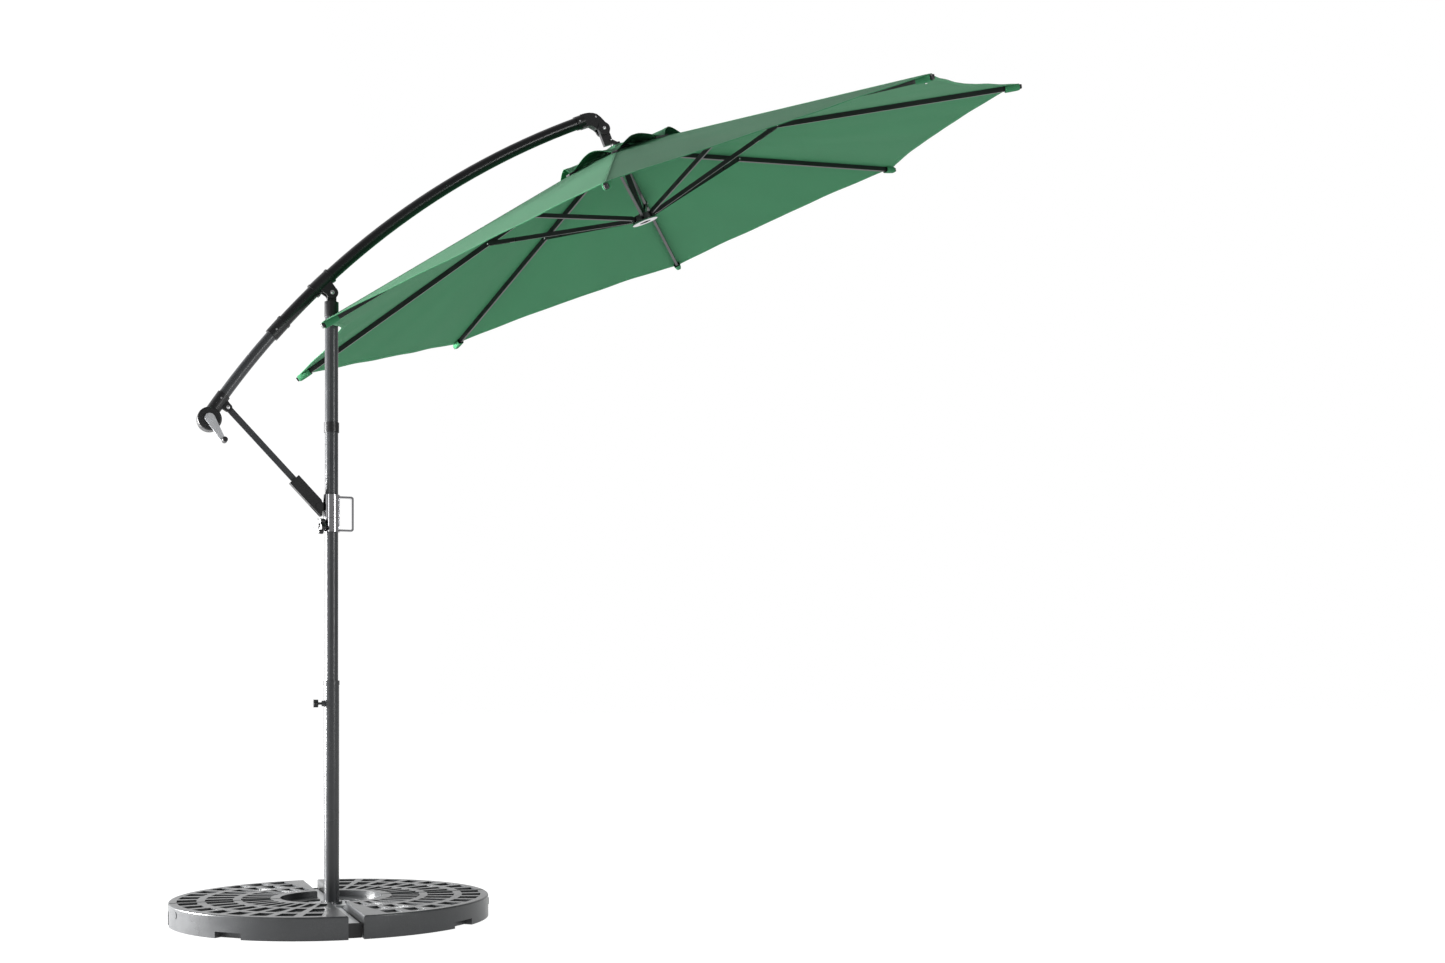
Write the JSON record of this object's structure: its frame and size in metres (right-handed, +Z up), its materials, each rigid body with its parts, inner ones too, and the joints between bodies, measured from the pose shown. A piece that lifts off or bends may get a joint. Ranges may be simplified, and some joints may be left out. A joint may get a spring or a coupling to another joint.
{
  "type": "cantilever patio umbrella",
  "caption": "Cantilever patio umbrella: octagonal canopy on a curved arm with crank winch, strut and sliding collar, mast on a steel cross held down by fan weights.",
  "frame": {"origin": "on the ground, on the mast's axis, at the middle of the cross base", "axes": "+Z up the mast; +X the way the arm carries the canopy; +Y completes the right-handed frame, so the crank is on the -Y side"},
  "size_m": [2.7683, 2.5622, 2.8085],
  "materials": {
    "mast_grey": "satin powder coat, dark grey",
    "arm_black": "satin powder coat, black",
    "rib_black": "satin powder coat, near black",
    "black_plastic": "moulded, fine grain",
    "weight_plastic": "moulded, charcoal",
    "chrome": "polished",
    "bright_steel": "galvanised or brushed",
    "crank_silver": "die cast, satin",
    "pin_steel": "plain steel, turned",
    "canopy_green": "woven polyester, dark green",
    "cord_black": "braided"
  },
  "bodies": {
    "base": {"cross_tubes": "bright_steel", "cross_end_caps": "black_plastic", "centre_plate": "bright_steel", "base_bolts": "pin_steel", "mast_socket": "mast_grey", "weight_1": "weight_plastic", "weight_2": "weight_plastic", "weight_3": "weight_plastic", "weight_4": "weight_plastic"},
    "clamp": {"clamp_knob": "black_plastic"},
    "mast": {"mast_lower_tube": "mast_grey", "mast_upper_tube": "mast_grey", "mast_connector": "black_plastic", "mast_head": "black_plastic"},
    "collar": {"collar_sleeve": "chrome", "collar_handle": "chrome", "collar_lug": "black_plastic"},
    "star": {"star_knob": "black_plastic"},
    "strut": {"strut_bar": "mast_grey", "strut_socket": "black_plastic"},
    "arm": {"arm_lower_tube": "mast_grey", "arm_upper_tube": "arm_black", "arm_ferrule": "black_plastic", "arm_saddle": "black_plastic", "winch_socket": "black_plastic", "winch_housing": "black_plastic", "arm_elbow": "black_plastic", "arm_pins": "pin_steel", "hoist_cord": "cord_black"},
    "crank": {"winch_drum": "black_plastic", "crank_arm": "crank_silver"},
    "grip": {"crank_grip": "black_plastic"},
    "crown": {"crown_link": "black_plastic", "crown_hub": "black_plastic", "stem": "rib_black"},
    "runner": {"runner_hub": "black_plastic"},
    "rib_1": {"rib_1": "rib_black", "panel_1": "canopy_green"},
    "stay_1": {"stay_1": "rib_black"},
    "rib_2": {"rib_2": "rib_black", "panel_2": "canopy_green"},
    "stay_2": {"stay_2": "rib_black"},
    "rib_3": {"rib_3": "rib_black", "panel_3": "canopy_green"},
    "stay_3": {"stay_3": "rib_black"},
    "rib_4": {"rib_4": "rib_black", "panel_4": "canopy_green"},
    "stay_4": {"stay_4": "rib_black"},
    "rib_5": {"rib_5": "rib_black", "panel_5": "canopy_green"},
    "stay_5": {"stay_5": "rib_black"},
    "rib_6": {"rib_6": "rib_black", "panel_6": "canopy_green"},
    "stay_6": {"stay_6": "rib_black"},
    "rib_7": {"rib_7": "rib_black", "panel_7": "canopy_green"},
    "stay_7": {"stay_7": "rib_black"},
    "rib_8": {"rib_8": "rib_black", "panel_8": "canopy_green"},
    "stay_8": {"stay_8": "rib_black"}
  },
  "joints": [
    {"name": "mast_swivel", "type": "hinge", "parent": "base", "child": "mast", "pos_m": [0, 0, 0.4], "axis": [0, 0, 1], "continuous": true},
    {"name": "clamp_turn", "type": "hinge", "parent": "base", "child": "clamp", "pos_m": [-0.04, 0, 0.691], "axis": [-1, 0, 0], "range_deg": [0, 270]},
    {"name": "arm_raise", "type": "hinge", "parent": "mast", "child": "arm", "pos_m": [0, 0, 2.012], "axis": [0, -1, 0], "range_deg": [0, 12]},
    {"name": "strut_swing", "type": "hinge", "parent": "arm", "child": "strut", "pos_m": [-0.321, 0, 1.624], "axis": [0, -1, 0], "range_deg": [-27.1, 0]},
    {"name": "collar_slide", "type": "slide", "parent": "mast", "child": "collar", "axis": [0, 0, 1], "range_m": [-0.1211, 0]},
    {"name": "star_turn", "type": "hinge", "parent": "collar", "child": "star", "pos_m": [0, 0, 1.261], "axis": [-0.9272, -0.3746, 0], "range_deg": [0, 270]},
    {"name": "crank_spin", "type": "hinge", "parent": "arm", "child": "crank", "pos_m": [-0.378, 0, 1.583], "axis": [0, 1, 0], "range_deg": [0, 2975]},
    {"name": "grip_spin", "type": "hinge", "parent": "crank", "child": "grip", "pos_m": [-0.336, -0.06, 1.513], "axis": [0, -1, 0], "continuous": true},
    {"name": "canopy_tilt", "type": "hinge", "parent": "arm", "child": "crown", "pos_m": [0.913, 0, 2.654], "axis": [0, -1, 0], "range_deg": [0, 15]},
    {"name": "rib_1_fold", "type": "hinge", "parent": "crown", "child": "rib_1", "pos_m": [0.99764, -0.01398, 2.59278], "axis": [0.4027, 0.8996, 0.1693], "range_deg": [0, 71.2], "deforming": ["panel_1"]},
    {"name": "rib_2_fold", "type": "hinge", "parent": "crown", "child": "rib_2", "pos_m": [0.99898, 0.01047, 2.59334], "axis": [-0.3016, 0.9449, -0.1268], "range_deg": [0, 71.2], "deforming": ["panel_2"]},
    {"name": "rib_3_fold", "type": "hinge", "parent": "crown", "child": "rib_3", "pos_m": [0.98399, 0.02879, 2.58704], "axis": [-0.8293, 0.4368, -0.3486], "range_deg": [0, 71.2], "deforming": ["panel_3"]},
    {"name": "rib_4_fold", "type": "hinge", "parent": "crown", "child": "rib_4", "pos_m": [0.96145, 0.03024, 2.57757], "axis": [-0.8711, -0.3272, -0.3662], "range_deg": [0, 71.2], "deforming": ["panel_4"]},
    {"name": "rib_5_fold", "type": "hinge", "parent": "crown", "child": "rib_5", "pos_m": [0.94456, 0.01398, 2.57047], "axis": [-0.4027, -0.8996, -0.1693], "range_deg": [0, 71.2], "deforming": ["panel_5"]},
    {"name": "rib_6_fold", "type": "hinge", "parent": "crown", "child": "rib_6", "pos_m": [0.94322, -0.01047, 2.56991], "axis": [0.3016, -0.9449, 0.1268], "range_deg": [0, 71.2], "deforming": ["panel_6"]},
    {"name": "rib_7_fold", "type": "hinge", "parent": "crown", "child": "rib_7", "pos_m": [0.95822, -0.02879, 2.57621], "axis": [0.8293, -0.4368, 0.3486], "range_deg": [0, 71.2], "deforming": ["panel_7"]},
    {"name": "rib_8_fold", "type": "hinge", "parent": "crown", "child": "rib_8", "pos_m": [0.98075, -0.03024, 2.58568], "axis": [0.8711, 0.3272, 0.3662], "range_deg": [0, 71.2], "deforming": ["panel_8"]},
    {"name": "stay_1_fold", "type": "hinge", "parent": "rib_1", "child": "stay_1", "pos_m": [1.46278, -0.23547, 2.66334], "axis": [0.4027, 0.8996, 0.1693], "range_deg": [-142.4, 0]},
    {"name": "stay_2_fold", "type": "hinge", "parent": "rib_2", "child": "stay_2", "pos_m": [1.48534, 0.1764, 2.67282], "axis": [-0.3016, 0.9449, -0.1268], "range_deg": [-142.4, 0]},
    {"name": "stay_3_fold", "type": "hinge", "parent": "rib_3", "child": "stay_3", "pos_m": [1.23281, 0.48493, 2.56667], "axis": [-0.8293, 0.4368, -0.3486], "range_deg": [-142.4, 0]},
    {"name": "stay_4_fold", "type": "hinge", "parent": "rib_4", "child": "stay_4", "pos_m": [0.85313, 0.5094, 2.40707], "axis": [-0.8711, -0.3272, -0.3662], "range_deg": [-142.4, 0]},
    {"name": "stay_5_fold", "type": "hinge", "parent": "rib_5", "child": "stay_5", "pos_m": [0.5687, 0.23547, 2.2875], "axis": [-0.4027, -0.8996, -0.1693], "range_deg": [-142.4, 0]},
    {"name": "stay_6_fold", "type": "hinge", "parent": "rib_6", "child": "stay_6", "pos_m": [0.54615, -0.1764, 2.27802], "axis": [0.3016, -0.9449, 0.1268], "range_deg": [-142.4, 0]},
    {"name": "stay_7_fold", "type": "hinge", "parent": "rib_7", "child": "stay_7", "pos_m": [0.79867, -0.48493, 2.38417], "axis": [0.8293, -0.4368, 0.3486], "range_deg": [-142.4, 0]},
    {"name": "stay_8_fold", "type": "hinge", "parent": "rib_8", "child": "stay_8", "pos_m": [1.17836, -0.5094, 2.54378], "axis": [0.8711, 0.3272, 0.3662], "range_deg": [-142.4, 0]},
    {"name": "runner_level", "type": "hinge", "parent": "stay_1", "child": "runner", "pos_m": [1.08692, -0.01398, 2.38037], "axis": [0.4027, 0.8996, 0.1693], "range_deg": [0, 71.2]}
  ],
  "couplings": [
    {"joint": "strut_swing", "follows": "arm_raise", "ratio": -2.2561},
    {"joint": "collar_slide", "follows": "arm_raise", "m_per_rad": -0.5778},
    {"joint": "crank_spin", "follows": "rib_1_fold", "ratio": 41.7},
    {"joint": "rib_2_fold", "follows": "rib_1_fold", "ratio": 1},
    {"joint": "rib_3_fold", "follows": "rib_1_fold", "ratio": 1},
    {"joint": "rib_4_fold", "follows": "rib_1_fold", "ratio": 1},
    {"joint": "rib_5_fold", "follows": "rib_1_fold", "ratio": 1},
    {"joint": "rib_6_fold", "follows": "rib_1_fold", "ratio": 1},
    {"joint": "rib_7_fold", "follows": "rib_1_fold", "ratio": 1},
    {"joint": "rib_8_fold", "follows": "rib_1_fold", "ratio": 1},
    {"joint": "stay_1_fold", "follows": "rib_1_fold", "ratio": -2},
    {"joint": "stay_2_fold", "follows": "rib_1_fold", "ratio": -2},
    {"joint": "stay_3_fold", "follows": "rib_1_fold", "ratio": -2},
    {"joint": "stay_4_fold", "follows": "rib_1_fold", "ratio": -2},
    {"joint": "stay_5_fold", "follows": "rib_1_fold", "ratio": -2},
    {"joint": "stay_6_fold", "follows": "rib_1_fold", "ratio": -2},
    {"joint": "stay_7_fold", "follows": "rib_1_fold", "ratio": -2},
    {"joint": "stay_8_fold", "follows": "rib_1_fold", "ratio": -2},
    {"joint": "runner_level", "follows": "rib_1_fold", "ratio": 1}
  ]
}
